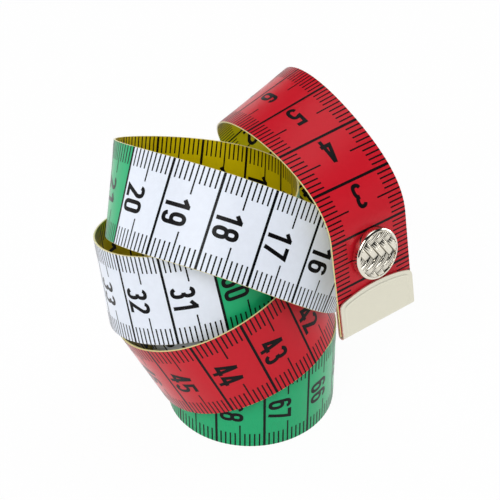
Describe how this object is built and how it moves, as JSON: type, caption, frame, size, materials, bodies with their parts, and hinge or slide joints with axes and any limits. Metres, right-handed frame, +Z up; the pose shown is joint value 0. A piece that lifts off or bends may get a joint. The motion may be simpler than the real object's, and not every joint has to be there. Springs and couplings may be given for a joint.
{
  "type": "cloth tape measure",
  "caption": "Loosely rolled cloth tape measure with folded metal ends and a snap fastener, standing on its inner turns with the zero end curled over the top.",
  "frame": {"origin": "under the middle of the object's bounding box, on the surface that it stands on", "axes": "+Z up, -Y toward the front of the roll where the zero end hangs, +X to the right seen from the front"},
  "size_m": [0.0646, 0.0612, 0.0664],
  "materials": {
    "tape_red": "vinyl-coated glass cloth, satin",
    "tape_white": "vinyl-coated glass cloth, satin",
    "tape_green": "vinyl-coated glass cloth, satin",
    "tip_metal": "plated sheet, satin",
    "nickel": "bright nickel plate",
    "spring_steel": "drawn wire"
  },
  "bodies": {
    "roll": {"tape_loose_turns": "tape_white", "tape_core": "tape_green", "inner_end_tip": "tip_metal", "snap_stud": "nickel", "snap_stud_eyelet": "nickel"},
    "lead": {"tape_lead": "tape_red", "zero_end_tip": "tip_metal", "snap_cap": "nickel", "snap_cap_post": "nickel", "snap_socket": "nickel", "snap_spring": "spring_steel"}
  },
  "joints": [
    {"name": "lead_flex", "type": "hinge", "parent": "roll", "child": "lead", "pos_m": [0.00268, 0.00879, 0.06265], "axis": [-0.7966, -0.498, -0.3427], "range_deg": [0, 45], "stiffness_Nm_per_rad": 0.001}
  ]
}
